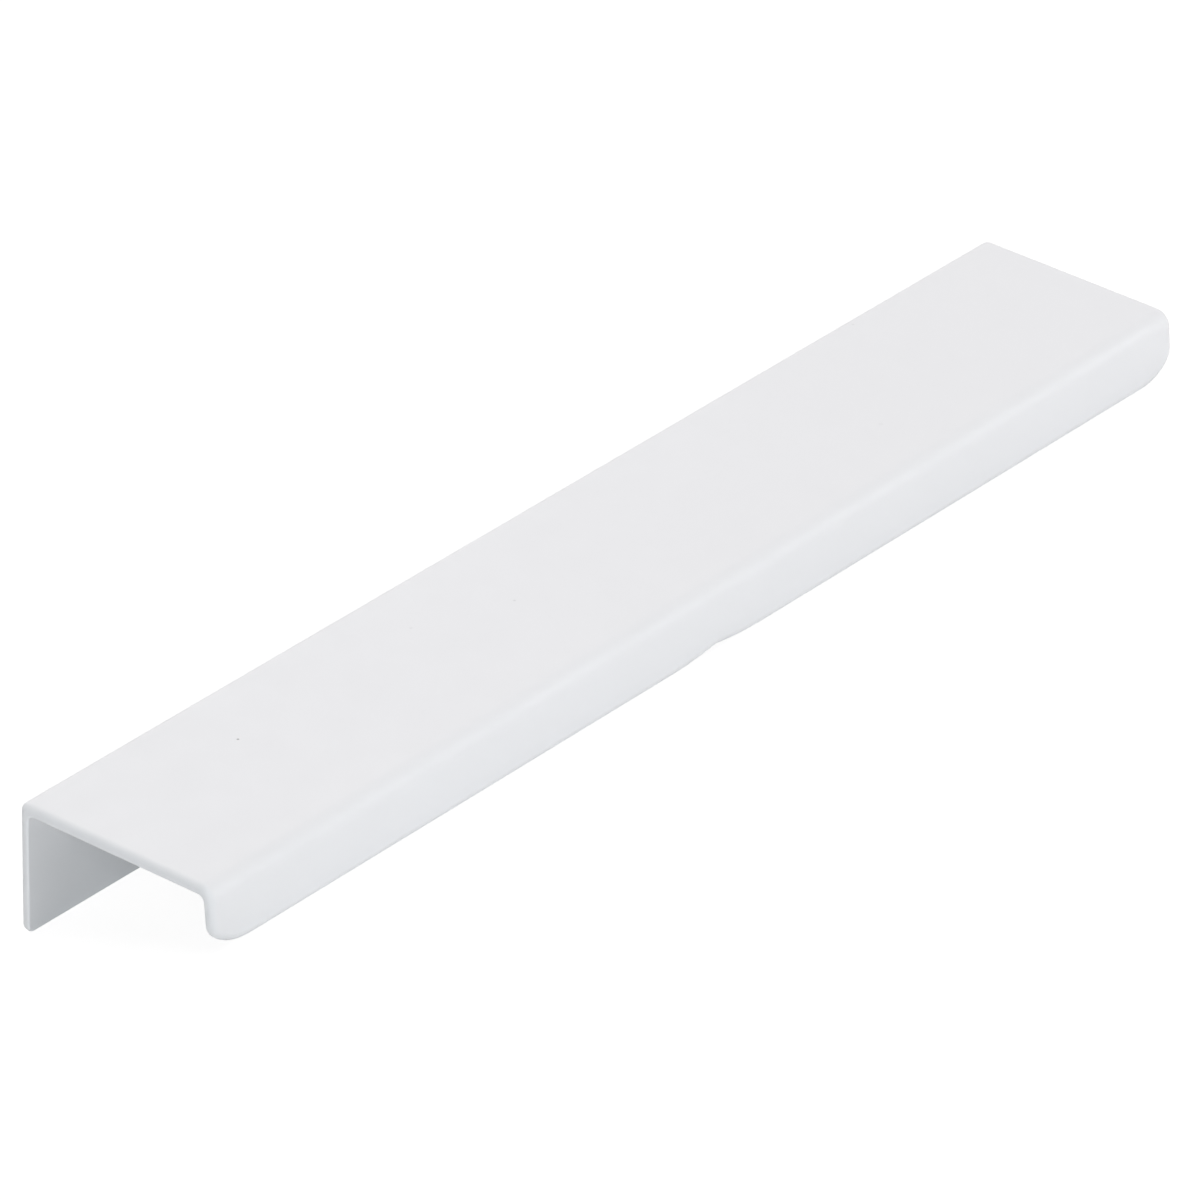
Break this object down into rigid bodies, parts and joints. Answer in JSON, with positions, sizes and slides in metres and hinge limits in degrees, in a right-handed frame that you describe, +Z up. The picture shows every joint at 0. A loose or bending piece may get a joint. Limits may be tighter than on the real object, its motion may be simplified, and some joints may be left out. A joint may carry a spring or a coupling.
{
  "type": "lip pull handle",
  "caption": "Extruded metal lip pull: a flat plate with a tall screw flange along its back edge and a short rounded finger lip along its front, painted white.",
  "frame": {"origin": "on the floor under the middle of the pull's box, as it rests on the lower edges of its flange and lip", "axes": "+X along the pull's length, -Y towards the finger lip, +Z up from the floor"},
  "size_m": [0.2, 0.036, 0.0184],
  "materials": {
    "white_paint": "semi-matt white paint, fine even texture"
  },
  "bodies": {
    "root": {"lip_pull": "white_paint"}
  },
  "joints": []
}
